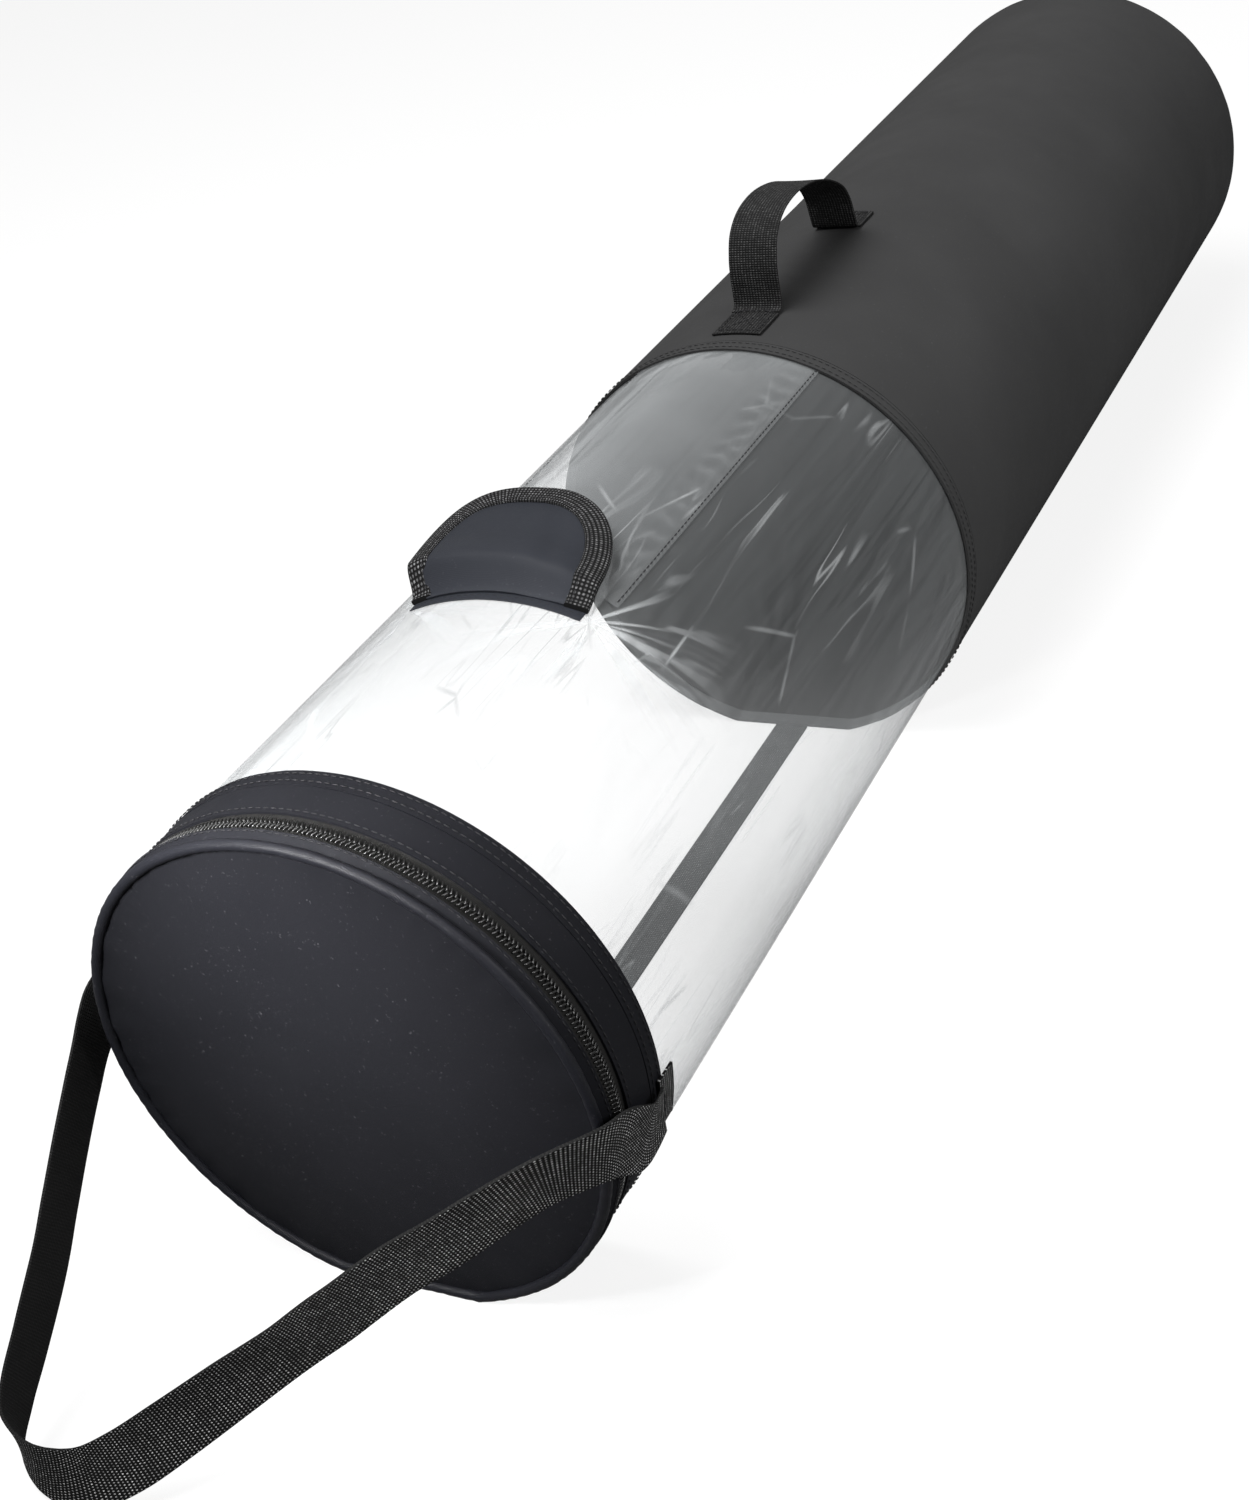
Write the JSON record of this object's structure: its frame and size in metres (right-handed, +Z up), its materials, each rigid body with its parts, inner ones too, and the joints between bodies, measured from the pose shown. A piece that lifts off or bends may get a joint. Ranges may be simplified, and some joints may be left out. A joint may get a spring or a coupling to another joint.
{
  "type": "wrapping_roll_bag",
  "caption": "Long round fabric storage bag for wrapping rolls, with a clear window, a zipped lid, a flapped clear pocket, a grab handle and a carry strap.",
  "frame": {"origin": "centre of the flat strip of the body's underside that rests on the floor", "axes": "+Y along the bag from the lid to the base, +X to the right seen from the lid, +Z up"},
  "size_m": [0.2572, 1.1769, 0.2733],
  "materials": {
    "satin_lid": "woven satin, black with a blue cast",
    "satin_body": "coated satin, charcoal",
    "clear_film": "clear soft film",
    "strap_webbing": "black webbing with a light speckle",
    "handle_webbing": "dark grey ribbed webbing",
    "binding": "woven edge binding",
    "zip_coil": "moulded black coil",
    "zip_tape": "twill tape",
    "zip_metal": "black painted slider",
    "hook_loop": "hook and loop fastener"
  },
  "bodies": {
    "bag": {"zip_teeth_collar": "zip_coil", "zip_tape_collar": "zip_tape", "hinge_gusset": "satin_lid", "collar_band": "satin_lid", "collar_hem": "satin_lid", "window_tube": "clear_film", "back_seam_tape": "binding", "pocket_panel": "clear_film", "flap_root": "satin_lid", "pocket_loop_patch": "hook_loop", "body_hem": "satin_body", "body_tube": "satin_body", "base_seam": "satin_body", "base_panel": "satin_body", "handle_tab_front": "handle_webbing", "handle_tab_rear": "handle_webbing", "strap_end_left": "strap_webbing", "strap_end_right": "strap_webbing"},
    "lid": {"lid_panel": "satin_lid", "lid_piping": "satin_lid", "lid_band": "satin_lid", "zip_tape_lid": "zip_tape", "zip_teeth_lid": "zip_coil"},
    "strap": {"carry_strap": "strap_webbing"},
    "handle": {"handle_loop": "handle_webbing"},
    "flap": {"pocket_flap": "satin_lid", "flap_binding": "binding", "flap_hook_patch": "hook_loop"},
    "slider": {"zip_slider": "zip_metal"},
    "pull": {"zip_pull": "zip_metal"}
  },
  "joints": [
    {"name": "lid_hinge", "type": "hinge", "parent": "bag", "child": "lid", "pos_m": [0, -0.5186, 0.0024], "axis": [1, 0, 0], "range_deg": [0, 86], "deforming": ["carry_strap"]},
    {"name": "strap_swing", "type": "hinge", "parent": "bag", "child": "strap", "pos_m": [0, -0.4795, 0.1021], "axis": [-0.9912, 0, 0.1324], "range_deg": [0, 45]},
    {"name": "handle_lean", "type": "hinge", "parent": "bag", "child": "handle", "pos_m": [0, 0.0095, 0.2262], "axis": [0, 1, 0], "range_deg": [-35, 35], "stiffness_Nm_per_rad": 0.03},
    {"name": "flap_hinge", "type": "hinge", "parent": "bag", "child": "flap", "pos_m": [0, -0.3385, 0.2257], "axis": [1, 0, 0], "range_deg": [0, 140]},
    {"name": "zip_travel", "type": "hinge", "parent": "bag", "child": "slider", "pos_m": [0, -0.506, 0.11], "axis": [0, 1, 0], "range_deg": [0, 293]},
    {"name": "pull_swing", "type": "hinge", "parent": "slider", "child": "pull", "pos_m": [-0.0533, -0.506, 0.0054], "axis": [0, -1, 0], "range_deg": [0, 180]}
  ]
}
